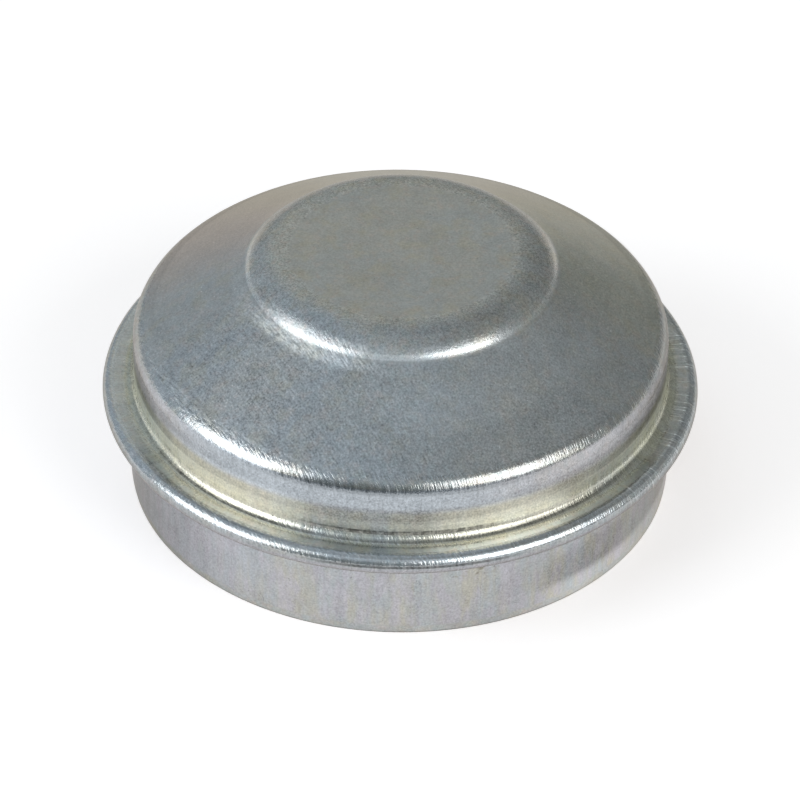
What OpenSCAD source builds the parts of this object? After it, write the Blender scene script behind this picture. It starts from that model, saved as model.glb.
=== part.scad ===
// Hub grease cap: a single cup of thin plated sheet, open at the bottom and closed by a low crown.
// From the open rim upward the sheet makes a skirt that presses into the hub bore, runs out and back
// in as a flange folded flat on itself, rises as the upper wall, turns over the shoulder into a cone
// and ends in a raised crown with a flat top.
//
// The origin is the centre of the open rim and +Z points to the crown. The section is a list of bends.
// Each face of the sheet follows every bend at its own radius, so the thickness is the same everywhere,
// and straight stretches join one bend to the next. The section is turned about Z.

/* [Sheet] */
// Thickness of the sheet, the same in every wall
sheet_t = 1.2; // [0.8:0.05:1.4]
// Gap between the two layers of the folded flange
fold_gap = 0.06; // [0.04:0.02:0.2]

/* [Register skirt] */
// Outside diameter that presses into the hub bore
register_d = 64.8; // [60:0.1:66]
// Height from the open rim to the underside of the flange
register_h = 10.9; // [8:0.1:16]
// Height over which the open rim draws inward to start in the bore
lead_h = 1.2; // [0.6:0.1:2]
// Radius of that inward curve
lead_r = 6; // [4:0.5:12]
// Radius of the corner between the skirt and the underside of the flange
root_r = 0.4; // [0.2:0.05:0.6]

/* [Folded flange] */
// How far the folded edge stands out past the skirt
flange_over = 3.15; // [2.5:0.05:6]

/* [Upper body] */
// Step inward from the skirt to the upper wall, on the radius
wall_inset = 0.6; // [0:0.1:2]
// Height from the top of the flange to the corner where the lines of wall and cone meet
wall_h = 7.35; // [4:0.05:12]
// Radius of the corner between the top of the flange and the wall
wall_fillet_r = 1.3; // [0.6:0.1:1.6]
// Outside radius of the shoulder
shoulder_r = 2.6; // [1.6:0.1:3.6]
// Slope of the cone in degrees from level
cone_slope = 31.5; // [22:0.5:38]

/* [Crown] */
// Diameter of the ring where the lines of cone and crown meet
crown_d = 36.8; // [30:0.2:44]
// Rise of the flat top above that ring
crown_h = 2.4; // [1.6:0.05:3.2]
// Outside radius of the crown's edge
crown_r = 6.2; // [5:0.1:8]
// Radius of the hollow corner between cone and crown
crown_fillet_r = 3; // [1:0.1:5]

/* [Hidden] */

sheet_colour = [0.68, 0.7, 0.69];
turn_fn = 120;
// A bend is drawn in steps no wider than this angle, or no shorter than this chord
arc_angle = 5;
arc_chord = 0.05;

register_r = register_d / 2;
wall_r = register_r - wall_inset;
crown_ring_r = crown_d / 2;

// The folded edge is half a ring round the fold gap
fold_near = fold_gap / 2;
fold_far = fold_near + sheet_t;
fold_centre = [register_r + flange_over - fold_far, register_h + fold_far];
flange_top = register_h + 2 * fold_far;

// The shoulder is round inside the corner where the lines of wall and cone meet
shoulder_corner = flange_top + wall_h;
shoulder_drop = shoulder_r * tan((90 - cone_slope) / 2);
shoulder_centre = [wall_r - shoulder_r, shoulder_corner - shoulder_drop];

// The crown stands on the ring that the cone reaches
ring_z = shoulder_corner + (wall_r - crown_ring_r) * tan(cone_slope);
total_h = ring_z + crown_h;
crown_angle = acos(1 - crown_h / crown_r);
crown_flat_r = crown_ring_r - crown_r * sin(crown_angle);
crown_centre = [crown_flat_r, total_h - crown_r];

// The centre of the hollow corner lies its own radius off the cone, and both radii from the crown's
// centre. It is found by a slide down the cone from the point that is right above the ring.
down_cone = [cos(cone_slope), -sin(cone_slope)];
off_cone = [sin(cone_slope), cos(cone_slope)];
over_ring = [crown_ring_r, ring_z] + crown_fillet_r * off_cone;
from_crown = over_ring - crown_centre;
radii = crown_r + crown_fillet_r;
along = from_crown * down_cone;
slide = sqrt(along * along - from_crown * from_crown + radii * radii) - along;
hollow_centre = over_ring + slide * down_cone;
to_hollow = hollow_centre - crown_centre;
meet_angle = atan2(to_hollow[1], to_hollow[0]);

// The lead-in curve starts level with the open rim on either face, so the rim is cut square
lead_centre = [register_r - lead_r, lead_h];

// The bends above it, up to the crown: centre, outer face's radius, inner face's radius, and the angles
// where the sheet enters and leaves
BENDS = [
    [[register_r + root_r, register_h - root_r], root_r, root_r + sheet_t, 180, 90],
    [fold_centre, fold_far, fold_near, -90, 90],
    [[wall_r + wall_fillet_r, flange_top + wall_fillet_r], wall_fillet_r, wall_fillet_r + sheet_t, 270, 180],
    [shoulder_centre, shoulder_r, shoulder_r - sheet_t, 0, 90 - cone_slope],
    [hollow_centre, crown_fillet_r, crown_fillet_r + sheet_t, 270 - cone_slope, 180 + meet_angle],
    [crown_centre, crown_r, crown_r - sheet_t, meet_angle, 90],
];

OUTER = 1;
INNER = 2;

function steps(radius, turn) = ceil(max(3, min(turn / arc_angle, turn * PI / 180 * radius / arc_chord)));

function arc(centre, radius, from, to) =
    let (count = steps(radius, abs(to - from)))
    [for (i = [0:count])
        let (angle = from + (to - from) * i / count)
        centre + radius * [cos(angle), sin(angle)]];

function lead_in(radius) = arc(lead_centre, radius, -asin(lead_h / radius), 0);

function bent_face(side) =
    [for (bend = BENDS) each arc(bend[0], bend[side], bend[3], bend[4])];

function reversed(points) = [for (i = [len(points) - 1:-1:0]) points[i]];

outer_face = concat(lead_in(lead_r), bent_face(OUTER), [[0, total_h]]);
inner_face = concat(lead_in(lead_r - sheet_t), bent_face(INNER), [[0, total_h - sheet_t]]);

// The whole sheet in section, on the right of the axis
module cap_section() {
    polygon(concat(outer_face, reversed(inner_face)));
}

module grease_cap() {
    color(sheet_colour)
        rotate_extrude($fn = turn_fn)
            cap_section();
}

grease_cap();
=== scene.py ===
# %% [markdown]
# A hub grease cap is one cup of thin sheet steel, drawn and folded in a press and then zinc plated.
# This lesson dresses the finished CAD part: it turns the same section again with many more steps, so
# that the bends catch the light smoothly, and gives it a plated finish with the marks of the press.
# Every length is in metres, in the frame of the CAD part, so nothing has to be fitted by eye.

import math

import bpy
import numpy as np
from mathutils import Matrix, Vector, noise


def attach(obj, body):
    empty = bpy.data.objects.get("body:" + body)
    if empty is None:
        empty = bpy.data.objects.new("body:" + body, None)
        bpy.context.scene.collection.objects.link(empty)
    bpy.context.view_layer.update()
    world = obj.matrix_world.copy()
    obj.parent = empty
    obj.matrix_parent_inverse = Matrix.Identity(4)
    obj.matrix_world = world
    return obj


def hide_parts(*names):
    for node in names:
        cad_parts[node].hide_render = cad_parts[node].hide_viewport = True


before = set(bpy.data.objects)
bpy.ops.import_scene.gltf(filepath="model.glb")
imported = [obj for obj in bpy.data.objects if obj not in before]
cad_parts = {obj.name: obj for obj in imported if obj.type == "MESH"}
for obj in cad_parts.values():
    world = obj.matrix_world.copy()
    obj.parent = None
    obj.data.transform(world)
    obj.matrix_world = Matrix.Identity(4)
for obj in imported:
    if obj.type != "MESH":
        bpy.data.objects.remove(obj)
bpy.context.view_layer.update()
MM = 0.001

# %% [markdown]
# The camera comes first, because it settles which marks will be seen. It looks down at about 38
# degrees from a distance of some eight cap widths, tipped by less than a degree. A long lens far away
# keeps the ellipses of the rims nearly alike. The camera's axes are written out as three vectors,
# which is surer than a chain of rotations.

# %% Camera
CAMERA_REACH = 0.600
CAMERA_HEIGHT_ANGLE = math.radians(38.33)
CAMERA_PITCH = math.radians(37.64)
CAMERA_ROLL = math.radians(0.70)
SENSOR_MM = 36
FOCAL_SHARE = 6.197
CLIP_NEAR, CLIP_FAR = 0.01, 20


def make_camera():
    """The camera in front of the cap, on the -Y side, with its axes as vectors."""
    data = bpy.data.cameras.new("view")
    data.sensor_width = SENSOR_MM
    data.lens = SENSOR_MM * FOCAL_SHARE
    data.clip_start, data.clip_end = CLIP_NEAR, CLIP_FAR
    made = bpy.data.objects.new("view", data)
    bpy.context.collection.objects.link(made)
    ahead = Vector((0, math.cos(CAMERA_PITCH), -math.sin(CAMERA_PITCH)))
    level = Vector((1, 0, 0))
    upward = level.cross(ahead)
    right = level * math.cos(CAMERA_ROLL) + upward * math.sin(CAMERA_ROLL)
    up = upward * math.cos(CAMERA_ROLL) - level * math.sin(CAMERA_ROLL)
    back = -CAMERA_REACH * math.cos(CAMERA_HEIGHT_ANGLE)
    place = Vector((0, back, CAMERA_REACH * math.sin(CAMERA_HEIGHT_ANGLE)))
    turn = Matrix((right, up, -ahead)).transposed().to_4x4()
    made.matrix_world = Matrix.Translation(place) @ turn
    bpy.context.scene.camera = made
    return made


camera = make_camera()
print("camera at", [round(v, 3) for v in camera.location], "lens", round(camera.data.lens, 1))

# %% [markdown]
# The section of the sheet has the sizes of the CAD part. A press leaves the sheet at nearly one
# thickness, so both faces run side by side through every bend. A bend is written as a centre, the
# radius of each face there and the angles between which it turns. The straight stretches need only
# their two ends. Turning a section is the natural way to make anything that was drawn from a disc.

# %% Section sizes
SHEET = 1.2 * MM
FOLD_GAP = 0.06 * MM
REGISTER_R = 32.4 * MM
REGISTER_H = 10.9 * MM
LEAD_H = 1.2 * MM
LEAD_R = 6 * MM
ROOT_R = 0.4 * MM
FLANGE_OVER = 3.15 * MM
WALL_INSET = 0.6 * MM
WALL_H = 7.35 * MM
WALL_FILLET_R = 1.3 * MM
SHOULDER_R = 2.6 * MM
CONE_SLOPE = math.radians(31.5)
CROWN_RING_R = 18.4 * MM
CROWN_H = 2.4 * MM
CROWN_R = 6.2 * MM
CROWN_FILLET_R = 3 * MM
QUARTER = math.pi / 2


def corner_heights():
    """Heights of the flange's top, of the corner under the cone, and of the ring under the crown."""
    flange_top = REGISTER_H + 2 * SHEET + FOLD_GAP
    corner = flange_top + WALL_H
    ring = corner + (REGISTER_R - WALL_INSET - CROWN_RING_R) * math.tan(CONE_SLOPE)
    return flange_top, corner, ring


FLANGE_TOP, CONE_CORNER, CROWN_RING = corner_heights()
CAP_TOP = CROWN_RING + CROWN_H
WALL_R = REGISTER_R - WALL_INSET
print("flange, cone corner, crown ring and top in mm:",
      [round(v / MM, 2) for v in (FLANGE_TOP, CONE_CORNER, CROWN_RING, CAP_TOP)])

# %% [markdown]
# The hollow corner at the foot of the crown touches two things at once, the cone's line and the
# crown's arc. Its centre is found by sliding down the cone until it stands both radii away from the
# crown's centre, which is one square root.

# %% Bends of the section
def crown_bends():
    """The centre of the hollow corner, the centre of the crown's edge, and the angle where they meet."""
    turn = math.acos(1 - CROWN_H / CROWN_R)
    crown = Vector((CROWN_RING_R - CROWN_R * math.sin(turn), CAP_TOP - CROWN_R))
    down_cone = Vector((math.cos(CONE_SLOPE), -math.sin(CONE_SLOPE)))
    off_cone = Vector((math.sin(CONE_SLOPE), math.cos(CONE_SLOPE)))
    over_ring = Vector((CROWN_RING_R, CROWN_RING)) + CROWN_FILLET_R * off_cone
    from_crown = over_ring - crown
    along = from_crown.dot(down_cone)
    radii = CROWN_R + CROWN_FILLET_R
    slide = math.sqrt(along**2 - from_crown.length_squared + radii**2) - along
    hollow = over_ring + slide * down_cone
    gap = hollow - crown
    return hollow, crown, math.atan2(gap.y, gap.x)


def section_bends():
    """Each bend from the open rim up: centre, outer and inner radius, angles of entry and exit."""
    fold_near = FOLD_GAP / 2
    fold_far = fold_near + SHEET
    fold = Vector((REGISTER_R + FLANGE_OVER - fold_far, REGISTER_H + fold_far))
    lead = Vector((REGISTER_R - LEAD_R, LEAD_H))
    root = Vector((REGISTER_R + ROOT_R, REGISTER_H - ROOT_R))
    fillet = Vector((WALL_R + WALL_FILLET_R, FLANGE_TOP + WALL_FILLET_R))
    shoulder_drop = SHOULDER_R * math.tan((QUARTER - CONE_SLOPE) / 2)
    shoulder = Vector((WALL_R - SHOULDER_R, CONE_CORNER - shoulder_drop))
    hollow, crown, meet = crown_bends()
    hollow_turn = (3 * QUARTER - CONE_SLOPE, 2 * QUARTER + meet)
    return {
        "lead_in": (lead, LEAD_R, LEAD_R - SHEET, None, 0),
        "root": (root, ROOT_R, ROOT_R + SHEET, 2 * QUARTER, QUARTER),
        "fold": (fold, fold_far, fold_near, -QUARTER, QUARTER),
        "fillet": (fillet, WALL_FILLET_R, WALL_FILLET_R + SHEET, 3 * QUARTER, 2 * QUARTER),
        "shoulder": (shoulder, SHOULDER_R, SHOULDER_R - SHEET, 0, QUARTER - CONE_SLOPE),
        "hollow": (hollow, CROWN_FILLET_R, CROWN_FILLET_R + SHEET, *hollow_turn),
        "crown_edge": (crown, CROWN_R, CROWN_R - SHEET, meet, QUARTER),
    }


BENDS = section_bends()
print(len(BENDS), "bends:", ", ".join(BENDS))

# %% [markdown]
# Rings are spent where the section turns, and only a few on the straight stretches, where they let
# the sheet be a little out of true. The outer face gets about twice as many rings as the inner one,
# which is seen only from below.

# %% Rings of the section
BEND_RINGS = {
    "lead_in": 5,
    "root": 6,
    "fold": 20,
    "fillet": 12,
    "shoulder": 20,
    "hollow": 10,
    "crown_edge": 18,
}
STRAIGHT_RINGS = {"root": 10, "fold": 3, "fillet": 4, "shoulder": 6, "hollow": 12}
JOINED = ("crown_edge",)
STRAIGHT_EASE = 0.06 * MM
TOP_RINGS = 14
INNER_SHARE = 0.45
FEWEST_RINGS = 3


def on_arc(centre, radius, angle):
    return centre + radius * Vector((math.cos(angle), math.sin(angle)))


def lead_angle(radius):
    """The angle at which the lead-in bend starts, level with the open rim."""
    return -math.asin(LEAD_H / radius)


def straight(first, last, count):
    """Points between two bends, the outermost close to the bends so that the sheet between stays flat."""
    ease = min(STRAIGHT_EASE / (last - first).length, 1 / (2 * count))
    shares = [ease + (1 - 2 * ease) * i / count for i in range(count + 1)]
    return [first.lerp(last, share) for share in shares]


def face_points(outer, detail):
    """Points of one face from the open rim to the edge of the flat top's centre."""
    points = []
    for name, (centre, outer_r, inner_r, begin, end) in BENDS.items():
        radius = outer_r if outer else inner_r
        begin = lead_angle(radius) if begin is None else begin
        count = max(FEWEST_RINGS, round(BEND_RINGS[name] * detail))
        arc = [on_arc(centre, radius, begin + (end - begin) * i / count) for i in range(count + 1)]
        if name in STRAIGHT_RINGS:
            points += straight(points[-1], arc[0], max(1, round(STRAIGHT_RINGS[name] * detail)))
        points += arc[1:] if name in JOINED else arc
    rim = points[-1]
    rings = straight(rim, Vector((0, rim.y)), max(FEWEST_RINGS, round(TOP_RINGS * detail)))
    return points + rings[:-1]


outer_points = face_points(True, 1)
inner_points = face_points(False, INNER_SHARE)
print(len(outer_points), "rings outside,", len(inner_points), "inside")

# %% [markdown]
# No pressed cap is quite round or quite even: the tools leave shallow waves, and handling leaves soft
# dents. Both are a few hundredths of a millimetre deep, which nobody would measure, but they keep the
# highlights from running perfectly even. They are moved into the mesh and not only into the shading.
# Every move goes inward, so that the cap stays inside its CAD box, and a ramp keeps the open rim flat
# on the surface that the cap stands on.

# %% Out of true
WAVE_DEPTH = 0.045 * MM
WAVE_REACH = 14 * MM
RIPPLE_DEPTH = 0.012 * MM
RIPPLE_REACH = 3.2 * MM
RIM_EASE = 3 * MM
WAVE_SEED = Vector((3.7, 1.9, 8.2))
TEST_SPOTS = 60


def inward(spot):
    """How far a point of the sheet lies inside its true place."""
    wave = (1 + noise.noise(spot / WAVE_REACH + WAVE_SEED)) / 2
    ripple = (1 + noise.noise(spot / RIPPLE_REACH - WAVE_SEED)) / 2
    return WAVE_DEPTH * wave + RIPPLE_DEPTH * ripple


def out_of_true(spots):
    """The points of one ring, each moved towards the axis, and down where the sheet lies flat."""
    moved = []
    for x, y, z in spots:
        depth = inward(Vector((x, y, z)))
        radius = max(math.hypot(x, y), SHEET)
        ease = min(1, z / RIM_EASE)
        moved.append((x - x / radius * depth, y - y / radius * depth, z - depth * ease * (z / CAP_TOP)))
    return np.array(moved)


tests = [inward(Vector((REGISTER_R * math.cos(a), REGISTER_R * math.sin(a), REGISTER_H)))
         for a in range(TEST_SPOTS)]
print("out of true by", round(min(tests) / MM, 3), "to", round(max(tests) / MM, 3), "mm")

# %% [markdown]
# The mesh is one closed skin: the outer face, the inner face, and the cut edge of the open rim
# between them. Each vertex also keeps how far along the sheet it lies from the open rim. The finish
# uses that length for marks that were drawn out along the sheet while it slid over the tools.

# %% Turn the section
TURN_STEPS = 384


def sheet_lengths(points):
    """Length along the sheet from its open rim to each ring."""
    reach, lengths = 0.0, [0.0]
    for before, after in zip(points, points[1:]):
        reach += (after - before).length
        lengths.append(reach)
    return lengths


def turned_mesh(name, outer, inner):
    """A closed mesh round the axis, with the length along the sheet as an attribute."""
    rings = list(reversed(outer)) + inner
    lengths = list(reversed(sheet_lengths(outer))) + sheet_lengths(inner)
    angles = np.arange(TURN_STEPS) * (2 * math.pi / TURN_STEPS)
    circle = np.stack([np.cos(angles), np.sin(angles)], axis=1)
    spots = [out_of_true([(0.0, 0.0, outer[-1].y)])]
    spots += [out_of_true(np.column_stack([circle * p.x, np.full(TURN_STEPS, p.y)])) for p in rings]
    spots.append(out_of_true([(0.0, 0.0, inner[-1].y)]))
    vertices = np.concatenate(spots)
    last = len(vertices) - 1
    pairs = [(a, (a + 1) % TURN_STEPS) for a in range(TURN_STEPS)]
    faces = [(0, 1 + a, 1 + b) for a, b in pairs]
    for k in range(len(rings) - 1):
        low = 1 + k * TURN_STEPS
        high = low + TURN_STEPS
        faces += [(low + a, high + a, high + b, low + b) for a, b in pairs]
    low = 1 + (len(rings) - 1) * TURN_STEPS
    faces += [(last, low + b, low + a) for a, b in pairs]
    mesh = bpy.data.meshes.new(name)
    mesh.from_pydata(vertices.tolist(), [], faces)
    mesh.shade_smooth()
    along = mesh.attributes.new("along_sheet", "FLOAT", "POINT")
    values = [lengths[0], *np.repeat(lengths, TURN_STEPS), lengths[-1]]
    along.data.foreach_set("value", np.array(values, dtype=np.float32))
    return mesh


cap = bpy.data.objects.new("pressed_cap", turned_mesh("pressed_cap", outer_points, inner_points))
bpy.context.collection.objects.link(cap)
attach(cap, "root")
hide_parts("grease_cap")
triangles = sum(len(face.vertices) - 2 for face in cap.data.polygons)
print(len(cap.data.polygons), "faces,", triangles, "triangles")

# %% [markdown]
# A finish is built from many small sums. Written with Python's own signs they stay readable, so this
# class wraps a socket: every sign adds the Math node that does it. All other nodes come from one
# method, which takes the node's type, its settings, and the values or wires of its sockets.

# %% Wires
MIX_SHARE, MIX_FIRST, MIX_SECOND, MIX_COLOUR = 0, 6, 7, 2


class Wire:
    """A socket of a node tree. Signs between wires and numbers add Math nodes."""

    def __init__(self, tree, socket=None):
        self.tree = tree
        self.socket = socket

    def node(self, kind, settings=None, sockets=None, output=0):
        """Adds any node: its type, the settings that are set first, and its sockets' values or wires."""
        made = self.tree.nodes.new("ShaderNode" + kind)
        for name, value in (settings or {}).items():
            setattr(made, name, value)
        for name, value in (sockets or {}).items():
            if isinstance(value, Wire):
                self.tree.links.new(value.socket, made.inputs[name])
            else:
                made.inputs[name].default_value = value
        return Wire(self.tree, made.outputs[output])

    def math(self, operation, first, second):
        return self.node("Math", {"operation": operation}, {0: first, 1: second})

    def __add__(self, other):
        return self.math("ADD", self, other)

    def __sub__(self, other):
        return self.math("SUBTRACT", self, other)

    def __rsub__(self, other):
        return self.math("SUBTRACT", other, self)

    def __mul__(self, other):
        return self.math("MULTIPLY", self, other)

    __radd__ = __add__
    __rmul__ = __mul__


def rise(value, low, high):
    """0 below low, 1 above high, and a smooth step between them. It falls where low is above high."""
    settings = {"interpolation_type": "SMOOTHSTEP"}
    return value.node("MapRange", settings, {"Value": value, "From Min": low, "From Max": high})


def band(value, low, high, soft):
    """1 between low and high, with soft edges that reach outward."""
    return rise(value, low - soft, low) * rise(value, high + soft, high)


def blend(share, first, second):
    """Mixes two colours by a share, which is a wire."""
    sockets = {MIX_SHARE: share, MIX_FIRST: first, MIX_SECOND: second}
    return share.node("Mix", {"data_type": "RGBA"}, sockets, MIX_COLOUR)


def total(base, parts):
    """A base and the parts of a table, each of which is a mask and its strength."""
    for mask, strength in parts.values():
        base = base + mask * strength
    return base


print("wires ready")

# %% [markdown]
# Marks are placed by where they lie on the cap. Four readings serve them all: the place in
# millimetres, the direction away from the axis, the length along the sheet from the open rim, and how
# nearly a spot faces a given side. Sides are counted in degrees from the camera's side, with the
# right at 90 and the left at -90.

# %% Where a mark lies
PER_MM = 1 / MM
FULL_SHARE = 0.35
ALL_ROUND = None

zinc = bpy.data.materials.new("zinc_plate")
zinc.use_nodes = True
cap.data.materials.append(zinc)
plating = Wire(zinc.node_tree)


def vector_math(operation, first, second=(0, 0, 0), output=0):
    return plating.node("VectorMath", {"operation": operation}, {0: first, 1: second}, output)


place = vector_math("MULTIPLY", plating.node("TexCoord", output="Object"), (PER_MM, PER_MM, PER_MM))
outward = vector_math("NORMALIZE", vector_math("MULTIPLY", place, (1, 1, 0)))
length = plating.node("Attribute", {"attribute_name": "along_sheet"}, output="Fac") * PER_MM


def facing(side, reach):
    """1 where the cap faces the side, in degrees, and 0 beyond reach degrees from it."""
    if reach is ALL_ROUND:
        return 1
    angle = math.radians(side)
    nearness = vector_math("DOT_PRODUCT", outward, (math.sin(angle), -math.cos(angle), 0), "Value")
    return rise(nearness, math.cos(math.radians(reach)), math.cos(math.radians(reach * FULL_SHARE)))


def patch(side, reach, low, high, soft):
    """A soft patch around one side of the cap, between two lengths along the sheet."""
    return band(length, low, high, soft) * facing(side, reach)


print("marks can be placed")

# %% [markdown]
# Three kinds of noise make the grain. Plain noise stands for the crystals of the zinc. Drawn noise is
# pulled out along the sheet, as the marks are that the die left on the skirt and the wall. Rolled
# noise is pulled out in one direction across the whole cap, because the rolling lines of the flat
# sheet run straight on over the cone and cross the bends at a slant.

# %% Kinds of grain
TURN_R = 32
ROLLING = math.radians(57)
GRAIN_ROUGHNESS = 0.6
MEAN = 0.5


def shifted(where, step):
    return vector_math("ADD", where, (step, 2 * step, 3 * step))


def drawn(share):
    """The place with every step along the sheet shortened to its share of a step around."""
    around = vector_math("MULTIPLY", outward, (TURN_R, TURN_R, 0))
    return vector_math("ADD", around, plating.node("CombineXYZ", None, {"Z": length * share}))


def rolled(share):
    """The place with every step along the rolling lines shortened to its share of a step across."""
    along = vector_math("DOT_PRODUCT", place, (math.cos(ROLLING), -math.sin(ROLLING), 0), "Value")
    across = vector_math("DOT_PRODUCT", place, (math.sin(ROLLING), math.cos(ROLLING), 0), "Value")
    return plating.node("CombineXYZ", None, {"X": along * share, "Y": across})


def grain(where, size, detail=3.0):
    """Noise with features of about the given size in millimetres."""
    values = {"Vector": where, "Scale": 1 / size, "Detail": detail, "Roughness": GRAIN_ROUGHNESS}
    return plating.node("TexNoise", None, values)


crystals = grain(place, size=0.24, detail=1.5)
mottle = grain(shifted(place, 9), size=0.9)
cloud = grain(shifted(place, 21), size=3.2)
fine_roll = grain(rolled(share=0.22), size=0.25, detail=2.0)
long_roll = grain(rolled(share=0.05), size=0.8)
fine_draw = grain(drawn(share=0.10), size=0.30)
wide_draw = grain(drawn(share=0.06), size=1.5)
print("plain, rolled and drawn grain:", len(zinc.node_tree.nodes), "nodes so far")

# %% [markdown]
# The tools treated each stretch of the sheet in its own way. The cone and the flat top were hardly
# touched and keep the grain of the sheet. The bends slid hard over steel, so they are smoother and
# streaked. The masks are read from the length along the sheet, at which each bend starts and ends.

# %% Stretches of the sheet
EDGE_SOFT = 0.3
CROWN_SOFT = 0.6
TOP_SOFT = 1


def bend_lengths():
    """Where each bend of the outer face starts and ends, in millimetres along the sheet."""
    reach, last, found = 0.0, None, {}
    for name, (centre, outer_r, _, begin, end) in BENDS.items():
        begin = lead_angle(outer_r) if begin is None else begin
        first = on_arc(centre, outer_r, begin)
        reach += (first - last).length if last else 0.0
        found[name] = (reach / MM, (reach + outer_r * abs(end - begin)) / MM)
        reach += outer_r * abs(end - begin)
        last = on_arc(centre, outer_r, end)
    return found


ENDS = bend_lengths()
ROOT, FOLD = ENDS["root"][0], ENDS["fold"][0]
FILLET_START, FILLET = ENDS["fillet"]
SHOULDER, SHOULDER_END = ENDS["shoulder"]
CROWN, TOP = ENDS["crown_edge"]


def on_bend(name, soft=EDGE_SOFT):
    return band(length, *ENDS[name], soft)


def between(first, last):
    return band(length, ENDS[first][1], ENDS[last][0], EDGE_SOFT)


on_skirt = between("lead_in", "root")
on_fold = on_bend("fold")
on_flange = between("fold", "fillet")
on_fillet = on_bend("fillet")
on_wall = between("fillet", "shoulder")
on_shoulder = on_bend("shoulder")
on_cone = between("shoulder", "hollow")
on_crown_edge = on_bend("crown_edge", CROWN_SOFT)
on_top = rise(length, TOP - TOP_SOFT, TOP + TOP_SOFT)
print({name: [round(end, 2) for end in ends] for name, ends in ENDS.items()})

# %% [markdown]
# Zinc plate is a grey metal under a thin passivating film. Where the film is a little thicker it turns
# faintly straw, olive, rose or lavender, and elsewhere faintly blue. Each film is the zinc's own
# colour with its red and blue moved by some per cent, so the tints stay weak.

# %% Colours of the film
ZINC = (0.437, 0.445, 0.440)


def film(red, blue):
    """The zinc's colour under a film, which shifts its red and its blue by a share."""
    return (ZINC[0] * (1 + red), ZINC[1], ZINC[2] * (1 + blue), 1)


BARE = film(red=0, blue=0)
BLUE = film(red=-0.07, blue=0.09)
STRAW = film(red=0.09, blue=-0.20)
OLIVE = film(red=0.02, blue=-0.22)
ROSE = film(red=0.13, blue=-0.05)
LAVENDER = film(red=0.04, blue=0.10)
GREEN = film(red=-0.10, blue=0)
print("bare zinc", [round(part, 3) for part in BARE[:3]])

# %% [markdown]
# A film dries in drifts and spots, which are noise cut off at two levels. Smears and veils run down
# the sheet. The lower part of the wall gets a painted olive reflection of the flange, and the part above
# it a painted lavender reflection of the table, so each gets a mask of its own.

# %% Where the film is thick
LOW_WALL = (FILLET_START + 0.6, FILLET + 2.2)
LOW_WALL_SOFT = 1.2
HIGH_WALL_END = SHOULDER + 1.0


def stains(where, size, low, high):
    """Stains of about the given size in millimetres: 0 where the noise is low, 1 where it is high."""
    return rise(grain(where, size), low, high)


slow = stains(shifted(place, 40), size=9, low=0.42, high=0.62)
patches = stains(shifted(place, 70), size=2.6, low=0.45, high=0.68)
flecks = stains(shifted(place, 55), size=1.3, low=0.48, high=0.72)
greens = stains(shifted(place, 85), size=0.9, low=0.46, high=0.66)
smears = stains(drawn(share=0.2), size=2.4, low=0.42, high=0.66)
veils = stains(shifted(drawn(share=0.3), 50), size=1.7, low=0.44, high=0.62)
on_low_wall = band(length, *LOW_WALL, LOW_WALL_SOFT)
on_high_wall = band(length, FILLET, HIGH_WALL_END, EDGE_SOFT) * (1 - on_low_wall)
print("low wall from", round(LOW_WALL[0], 1), "to", round(LOW_WALL[1], 1), "mm along the sheet")

# %% [markdown]
# The films, and the painted reflections on the wall and under the fold, lie over one another in a
# table. Each row has the mask of a film or of a painted reflection, its share at full strength and its
# colour, and the rows are blended in their order. A share that changes over the cap is a wire too:
# there is less olive in front, and less green on the flat top and at the left.

# %% Layers of film and of painted reflection
green_share = total(0.5, {
    "flat top": (on_top, -0.3),
    "left of the cone": (on_cone * facing(-65, 65), -0.25),
})
olive_share = total(0.60, {
    "front": (facing(0, 65), -0.45),
    "smears": (smears, 0.30),
})
film_and_painted_reflection_layers = {
    "slow drift": (slow, 0.45, BLUE),
    "patches": (patches, 0.42, STRAW),
    "flecks": (flecks, 0.55, ROSE),
    "green mottle": (greens, green_share, GREEN),
    "cone at the back left": (on_cone * facing(-128, 42), 0.8, ROSE),
    "cone at the back": (on_cone * facing(180, 60), 0.8, STRAW),
    "cone at the front right": (on_cone * facing(35, 50), 0.35, BLUE),
    "cone at the right": (on_cone * facing(112, 42), 0.4, OLIVE),
    # painted reflections: the olive of the flange and the straw of the boxes on the low wall, and the
    # lavender of the table on the high wall
    "low wall": (on_low_wall, olive_share, OLIVE),
    "low wall at the front right": (patch(23, 26, *LOW_WALL, LOW_WALL_SOFT), 0.6, STRAW),
    "low wall at the left": (patch(-42, 24, *LOW_WALL, LOW_WALL_SOFT), 0.6, STRAW),
    "high wall": (on_high_wall, 0.5, LAVENDER),
    "high wall in front": (on_high_wall * facing(-15, 50), 0.9, BLUE),
    "fold, and flange at the back left": (on_fold + on_flange * facing(-105, 60), 0.35, BLUE),
    # a painted lavender reflection of the table under the fold
    "underside of the fold": (patch(0, ALL_ROUND, FOLD, FOLD + 1.7, EDGE_SOFT), 0.6, LAVENDER),
    "skirt at the left": (on_skirt * facing(-75, 60), 0.7, LAVENDER),
    "skirt": (on_skirt, 0.5, BLUE),
    "smears on the skirt": (on_skirt * facing(15, 70) * smears, 0.6, STRAW),
    "veils on the skirt": (on_skirt * veils, 0.8, LAVENDER),
}
colour = BARE
for mask, share, tint in film_and_painted_reflection_layers.values():
    colour = blend(mask * share, colour, tint)
print(len(film_and_painted_reflection_layers), "layers of film")

# %% [markdown]
# Three masks say how each stretch was worked. Bends slid over the tools and carry the rolling lines
# as streaks. The skirt, the flange and the wall were pulled through a die. Grit is how coarse the
# plate looks, and it is greatest at the front of the cone and least on the flat top.

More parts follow.
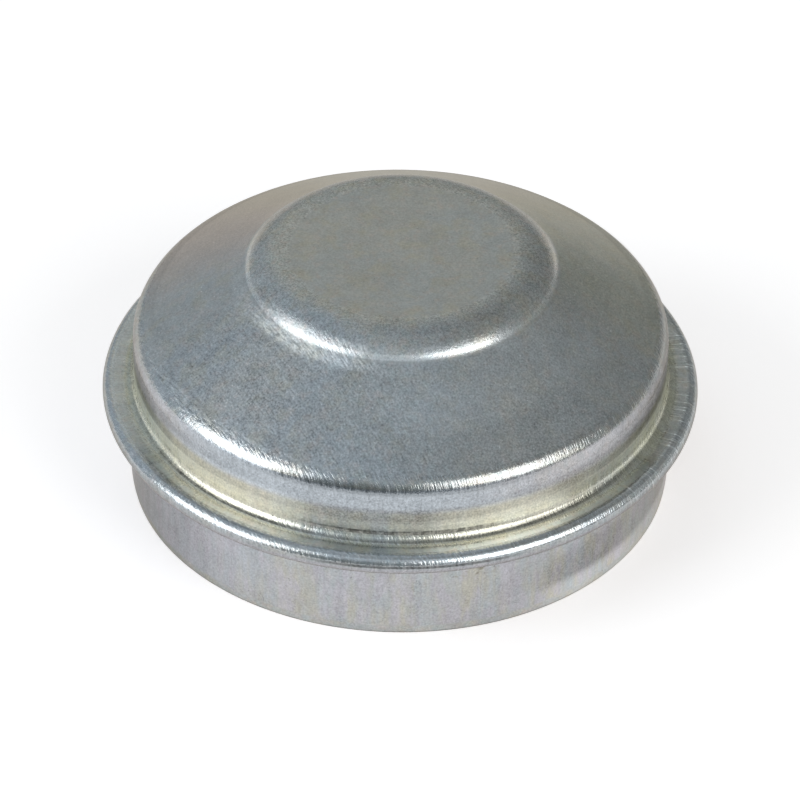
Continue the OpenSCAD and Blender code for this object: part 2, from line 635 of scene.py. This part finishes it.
# %% How the sheet was worked
bends = total(0, {
    "fold": (on_fold, 1),
    "shoulder": (on_shoulder, 1),
    "corner over the flange": (on_fillet, 0.9),
    "foot of the crown": (patch(-40, 42, CROWN - 1.5, CROWN + 1.6, 1.0), 0.42),
    "rim of the cone": (patch(-45, 32, SHOULDER_END, SHOULDER_END + 0.8, 0.5), 0.8),
})
pulled = total(0, {
    "skirt": (on_skirt, 0.8),
    "flange": (on_flange, 1),
    "corner over the flange": (on_fillet, 1),
    "wall": (on_wall, 0.8),
})
grit = total(0.55, {
    "wall": (on_wall, 0.4),
    "front of the cone": (on_cone * facing(-10, 80), 0.4),
    "right of the cone": (on_cone * facing(70, 50), 0.2),
    "edge of the crown": (on_crown_edge, 0.4),
    "flat top": (on_top, -0.1),
})
print("bends, pulled stretches and grit are masked")

# %% [markdown]
# The grain is a change of brightness, and each stretch gets its own mix of the kinds. Every noise
# enters with its mean taken off, so that the grain makes the plate neither lighter nor darker as a
# whole. The strengths are small, because zinc is quiet beside the reflections that it carries.

# %% Brightness of the grain
cone_in_front = on_cone * facing(-30, 60)
value = total(1, {
    "crystals": (crystals - MEAN, grit * 1.3),
    "mottle": (mottle - MEAN, 0.10 + grit * 0.15),
    "cloud": (cloud - MEAN, 0.14 + grit * 0.24),
    "fine rolling lines": (fine_roll - MEAN, bends * 0.6 + cone_in_front * 0.8),
    "long rolling lines": (long_roll - MEAN, cone_in_front * 0.25),
    "fine draw marks": (fine_draw - MEAN, pulled * 0.30),
    "wide draw marks": (wide_draw - MEAN, pulled * 0.40),
})
print("grain mixed,", len(zinc.node_tree.nodes), "nodes so far")

# %% [markdown]
# Broad tones of painted light and shade come next, as a table: the side that a tone faces and its reach
# in degrees, its two ends and its softness in millimetres along the sheet, and the change in brightness.
# The bands brighten or darken the plate where the boxes, the room and the table are seen in it, and where
# their shadows fall. The corner above the flange gets a painted highlight all round, and the lower half
# of the fold gets painted shade.

# %% Broad tones of painted light and shade
SHEET_END = 1000
PAINTED_TONES = {
    "skirt": (0, ALL_ROUND, 0, FOLD - 2, 0.3, -0.06),
    "skirt at the left": (-66, 28, 0, FOLD - 2, 0.3, -0.13),
    "foot of the skirt at the right": (60, 38, 0, 2.2, 1.4, 0.45),
    # a painted reflection of the table's shadow on the right of the skirt
    "painted reflected shadow on the skirt": (44, 16, 3.6, 6.2, 1.8, -0.18),
    "corner under the flange": (0, ALL_ROUND, FOLD - 2.15, FOLD - 1.5, 0.12, 0.55),
    "underside of the fold": (0, ALL_ROUND, FOLD, FOLD + 1.3, 0.25, 0.12),
    "lower half of the fold": (0, ALL_ROUND, FOLD + 1.4, FOLD + 2.2, 0.3, -0.15),
    "dark line of the fold": (3, 24, FOLD + 2.05, FOLD + 2.25, 0.15, -0.52),
    "edge of the fold in front": (0, 35, FOLD + 2.4, FOLD + 3.0, 0.2, 0.30),
    "edge of the fold at the right": (40, 45, FOLD + 2.7, FOLD + 3.0, 0.2, 0.50),
    "flange": (0, ALL_ROUND, FOLD + 3.7, FILLET - 2.0, 0.2, 0.12),
    "flange in front": (0, 22, FOLD + 3.6, FILLET - 2.4, 0.3, 0.35),
    "flange at the front right": (27, 32, FOLD + 4.3, FILLET - 1.9, 0.3, 0.70),
    "flange at the front left": (-42, 24, FOLD + 3.6, FOLD + 4.1, 0.25, -0.35),
    "flange at the right": (95, 45, FOLD + 3.6, FILLET - 1.9, 0.3, -0.28),
    "start of the corner": (0, 60, FILLET - 1.82, FILLET - 1.60, 0.15, 0.70),
    "foot of the corner": (0, 64, FILLET - 1.38, FILLET - 1.24, 0.16, -0.34),
    "foot of the corner at the left": (-42, 26, FILLET - 1.42, FILLET - 1.2, 0.12, -0.30),
    "bead of the corner": (-10, 36, FILLET - 0.88, FILLET - 0.6, 0.15, 0.65),
    "bead at the far left": (-62, 22, FILLET - 1.2, FILLET - 0.6, 0.2, -0.24),
    "bead at the right": (42, 22, FILLET - 1.2, FILLET - 0.95, 0.12, -0.28),
    # a painted highlight that brightens the corner all round, with less of it in front
    "painted highlight on the corner": (0, ALL_ROUND, FILLET - 0.75, FILLET + 1.3, 0.25, 0.70),
    "less of it in front": (0, 65, FILLET - 0.75, FILLET + 1.3, 0.25, -0.50),
    "corner at the right": (90, 50, FILLET - 0.4, FILLET + 0.6, 0.3, 0.35),
    "corner at the left": (-90, 40, FILLET - 0.4, FILLET + 0.5, 0.3, 0.35),
    "wall in front": (0, 24, FILLET + 1.2, FILLET + 2.8, 0.5, -0.26),
    "wall at the front right": (20, 17, FILLET + 0.9, FILLET + 2.6, 0.5, 0.25),
    "wall at the left": (-42, 26, FILLET + 0.4, FILLET + 3.0, 0.6, 0.27),
    "wall at the right": (48, 30, FILLET + 2.2, FILLET + 3.4, 0.6, -0.17),
    "shoulder in front": (0, 40, SHOULDER + 0.6, SHOULDER + 1.1, 0.3, -0.24),
    "shoulder at the right": (95, 50, SHOULDER + 0.2, SHOULDER + 1.2, 0.4, -0.30),
    "far edge of the shoulder": (180, 115, SHOULDER + 1.2, SHOULDER_END + 1.2, 0.5, -0.22),
    "cone at the back": (180, 110, SHOULDER_END + 1.5, CROWN - 3, 1.0, -0.07),
    "cone at the left": (-52, 45, SHOULDER_END + 1.5, CROWN - 3, 1.0, -0.10),
    "cone at the front right": (30, 42, SHOULDER_END + 7, CROWN - 1, 3.0, 0.16),
    "foot of the crown at the right": (30, 60, CROWN + 0.2, CROWN + 2.4, 0.5, 0.12),
    "foot of the crown at the left": (-42, 36, CROWN - 0.4, CROWN + 0.7, 0.5, -0.36),
    "bead of the crown at the left": (-80, 34, CROWN - 0.25, CROWN, 0.2, 0.12),
    "edge of the crown": (0, ALL_ROUND, CROWN + 1.2, TOP - 0.5, 0.8, -0.09),
    "flat top": (0, ALL_ROUND, TOP + 0.5, SHEET_END, 0.8, -0.03),
}
for side, reach, low, high, soft, change in PAINTED_TONES.values():
    value = value + patch(side, reach, low, high, soft) * change
print(len(PAINTED_TONES), "broad tones")

# %% [markdown]
# A few marks have places of their own: a pale rubbed ring at the foot of the crown, which is brighter in
# front as a painted highlight; a painted highlight at its front left that widens the left box's
# reflection over a scuffed patch; painted glints on the cone; a dark line along the top of the corner
# above the flange, in front; rust-brown dirt in the crevice under the fold; and short bright scratches
# across the flange. Bright marks are added, and dark marks take their share of what is there, so none
# turns negative.

# %% Marks of handling and painted highlights
DIRT_SHARE = 0.6
# the ring is pale all round, and brighter in front as a painted highlight of the hollow
ring_highlight_share = 1 + facing(-2, 40) * 1.6
streaked_highlight_share = 0.35 + rise(fine_roll, 0.35, 0.65) * 0.65
line_share = 0.55 + rise(mottle, 0.4, 0.6) * 0.45
# a painted highlight that widens the left box's reflection at the foot of the crown, over a scuffed patch
# that is also rougher
scuff_and_highlight = patch(-36, 34, CROWN - 1.5, CROWN + 0.6, 0.9) * streaked_highlight_share
dirt = patch(15, 7, ROOT - 2.4, ROOT - 1.2, 0.5) * rise(mottle, 0.48, 0.66)
nicks = rise(grain(drawn(share=0.05), size=0.22, detail=1.0), 0.60, 0.70)
# painted glints of the boxes, as bright slanted specks in the grain of the cone
painted_glints = rise(grain(shifted(rolled(share=0.4), 63), size=0.22, detail=1.0), 0.68, 0.80)
bright_marks = {
    "rubbed ring with painted highlight": (patch(0, ALL_ROUND, CROWN - 0.25, CROWN + 0.15, 0.3) * ring_highlight_share, 0.18),
    "scuff_and_highlight": (scuff_and_highlight, 0.55),
    "scratches across the flange": (nicks * facing(80, 50) * (on_flange + on_fold), 0.5),
    "painted glints on the cone": (painted_glints * on_cone, 0.5),
}
dark_marks = {
    "dark line at the top of the corner": (patch(1, 26, FILLET - 0.42, FILLET - 0.06, 0.12) * line_share, 0.75),
    "specks": (rise(grain(shifted(place, 33), size=0.35, detail=1.0), 0.70, 0.80), 0.3),
    "dirt in the crevice": (dirt, 0.4),
}
value = total(value, bright_marks)
for mask, strength in dark_marks.values():
    value = value * (1 - mask * strength)
colour = blend(dirt * DIRT_SHARE, colour, STRAW)
colour = plating.node("VectorMath", {"operation": "SCALE"}, {0: colour, "Scale": value})
print(len(bright_marks), "kinds of bright marks,", len(dark_marks), "kinds of dark marks")

# %% [markdown]
# Gloss follows the tools too. A bend that slid over polished steel mirrors more sharply than the cone,
# and the streaks that cross it break the edge of every highlight into ticks. At the sides of the low
# corner the plate is chalky, so there it is a little less of a metal and takes light as paint does.

# %% Gloss of the plate
PLATE_ROUGHNESS = 0.30
MATT_SHARE = 0.28
gloss_parts = {
    "fold": (on_fold, -0.08),
    "corner over the flange": (on_fillet, -0.02),
    "low wall in front": (on_low_wall * on_wall * facing(-10, 60), 0.12),
    "shoulder": (on_shoulder, -0.08),
    "edge of the crown": (on_crown_edge, -0.03),
    "mottle": (mottle - MEAN, 0.10),
    "rolling lines over the bends": ((fine_roll - MEAN) * bends, 0.30),
    "fine draw marks": ((fine_draw - MEAN) * pulled, 0.15),
    "scuff_and_highlight": (scuff_and_highlight, 0.12),
}
roughness = total(PLATE_ROUGHNESS, gloss_parts)
matt = band(length, FILLET - 0.3, FILLET + 1.6, 0.5) * (1 - facing(0, 65))
metal = 1 - matt * MATT_SHARE
print(len(gloss_parts), "changes of gloss around", PLATE_ROUGHNESS)

# %% [markdown]
# The relief is the same grain once more, as heights. A Bump node takes its height times a distance,
# and each passes its normal on to the next, so that the fine grain lies on top of the wider streaks.
# A height that is masked has its mean taken off first, or the mask's edge would stand up as a step.

# %% Relief of the plate
relief_layers = {
    "wide draw marks": ((wide_draw - MEAN) * pulled, 0.05 * MM),
    "rolling lines over the bends": ((fine_roll - MEAN) * bends, 0.055 * MM),
    "fine draw marks": ((fine_draw - MEAN) * pulled, 0.012 * MM),
    "crystals": (crystals, 0.016 * MM),
}


def relief(height, depth, under):
    """A Bump node over the normal under it, or over the bare surface where that is None."""
    sockets = {"Height": height, "Distance": depth, "Strength": 1.0}
    if under is not None:
        sockets["Normal"] = under
    return plating.node("Bump", None, sockets)


normal = None
for height, depth in relief_layers.values():
    normal = relief(height, depth, normal)
print(len(relief_layers), "layers of relief")

# %% [markdown]
# One Principled shader takes it all. Zinc is a warm grey where it is seen at a grazing angle, and the
# shader's own edge tint does that with one constant, without any node that asks where the camera is.

# %% Plated finish
EDGE_TINT = (0.62, 0.59, 0.54, 1)
plate = zinc.node_tree.nodes["Principled BSDF"]
plate.inputs["Specular Tint"].default_value = EDGE_TINT
finish = {"Base Color": colour, "Metallic": metal, "Roughness": roughness, "Normal": normal}
for name, wire in finish.items():
    zinc.node_tree.links.new(wire.socket, plate.inputs[name])
print(len(zinc.node_tree.nodes), "nodes in the plated finish")

# %% [markdown]
# A bright curved metal part is mostly a picture of its room, so the light is laid out as a
# photographer would: two soft boxes, one on each side of the camera, over a white table. Each row
# gives a box its azimuth and elevation in degrees, its width and height in metres, its radiance and
# its colour. The power follows from the radiance, so a larger box isn't a brighter reflection.

# %% Soft boxes
LAMP_REACH = 0.8
SOFT_BOXES = {
    "left_box": (-68, 27, 0.60, 0.55, 3.0, (0.98, 0.99, 1.0)),
    "right_box": (46, 31, 0.55, 0.50, 3.0, (1.0, 1.0, 1.0)),
}


def direction(azimuth, elevation):
    """A way out from the cap. Azimuth 0 is the camera's side and 90 the right."""
    a, e = math.radians(azimuth), math.radians(elevation)
    return Vector((math.sin(a) * math.cos(e), -math.cos(a) * math.cos(e), math.sin(e)))


def soft_box(name, azimuth, elevation, width, tall, radiance, tint):
    """A rectangle of light that faces the cap."""
    data = bpy.data.lights.new(name, "AREA")
    data.shape = "RECTANGLE"
    data.size, data.size_y = width, tall
    data.energy = radiance * math.pi * width * tall
    data.color = tint
    lamp = bpy.data.objects.new(name, data)
    bpy.context.collection.objects.link(lamp)
    out = direction(azimuth, elevation)
    lamp.location = out * LAMP_REACH
    lamp.rotation_mode = "QUATERNION"
    lamp.rotation_quaternion = (-out).to_track_quat("-Z", "Y")
    print(name, "gives", round(data.energy, 1), "W")


for name, row in SOFT_BOXES.items():
    soft_box(name, *row)

# %% [markdown]
# Around the boxes stands a plain grey room, which fills every reflection that they leave dark. It is
# bluish overhead, paler at the back, darker to the right and darkest behind the camera. Each part of
# the room has a direction, the two cosines between which it fades in, and a colour, so the world
# needs no picture.

# %% The grey room
ROOM_OVERHEAD = (0.535, 0.605, 0.670, 1)
ROOM_PARTS = {
    "back": (180, 34, 0.8, 0.98, (0.67, 0.685, 0.645, 1)),
    "right": (95, 18, 0.0, 0.8, (0.345, 0.36, 0.357, 1)),
    "behind the camera": (-18, 0, 0.55, 0.95, (0.20, 0.225, 0.235, 1)),
}
world = bpy.data.worlds.new("room")
bpy.context.scene.world = world
world.use_nodes = True
sky = Wire(world.node_tree)
way = sky.node("TexCoord", output="Generated")


def towards(azimuth, elevation):
    """How nearly a direction of the room points the given way, as a cosine."""
    settings = {"operation": "DOT_PRODUCT"}
    return sky.node("VectorMath", settings, {0: way, 1: direction(azimuth, elevation)}, "Value")


room = ROOM_OVERHEAD
for azimuth, elevation, low, high, tint in ROOM_PARTS.values():
    room = blend(rise(towards(azimuth, elevation), low, high), room, tint)
world.node_tree.links.new(room.socket, world.node_tree.nodes["Background"].inputs["Color"])
print(len(ROOM_PARTS), "parts of the room around", ROOM_OVERHEAD[:3])

# %% [markdown]
# The table is white paper. It takes light and shadow as paper does, and a weak glow lifts it to full
# white for the camera and for the metal that mirrors it, so no lamp has to be turned up for that.

# %% White table
TABLE_HALF = 3.0
PAPER_WHITE = 0.85
PAPER_GLOW = (0.385, 0.355, 0.340, 1)

table_mesh = bpy.data.meshes.new("table")
corners = [(sx * TABLE_HALF, sy * TABLE_HALF, 0) for sx, sy in ((-1, -1), (1, -1), (1, 1), (-1, 1))]
table_mesh.from_pydata(corners, [], [(0, 1, 2, 3)])
table = bpy.data.objects.new("table", table_mesh)
bpy.context.collection.objects.link(table)
paper = bpy.data.materials.new("white_paper")
paper.use_nodes = True
table.data.materials.append(paper)
surface = paper.node_tree.nodes["Principled BSDF"]
surface.inputs["Base Color"].default_value = (PAPER_WHITE, PAPER_WHITE, PAPER_WHITE, 1)
surface.inputs["Roughness"].default_value = 1
surface.inputs["Specular IOR Level"].default_value = 0
paper_start = Wire(paper.node_tree)


def ray_kind(output):
    return paper_start.node("LightPath", output=output)


seen = ray_kind("Is Camera Ray") + ray_kind("Is Glossy Ray") + ray_kind("Is Transmission Ray")
glow = paper_start.node("Emission", None, {"Color": PAPER_GLOW, "Strength": seen})
both = paper_start.node("AddShader", None, {0: Wire(paper.node_tree, surface.outputs[0]), 1: glow})
paper.node_tree.links.new(both.socket, paper.node_tree.nodes["Material Output"].inputs["Surface"])
bpy.context.scene.view_settings.view_transform = "Standard"
print("table", 2 * TABLE_HALF, "m wide")
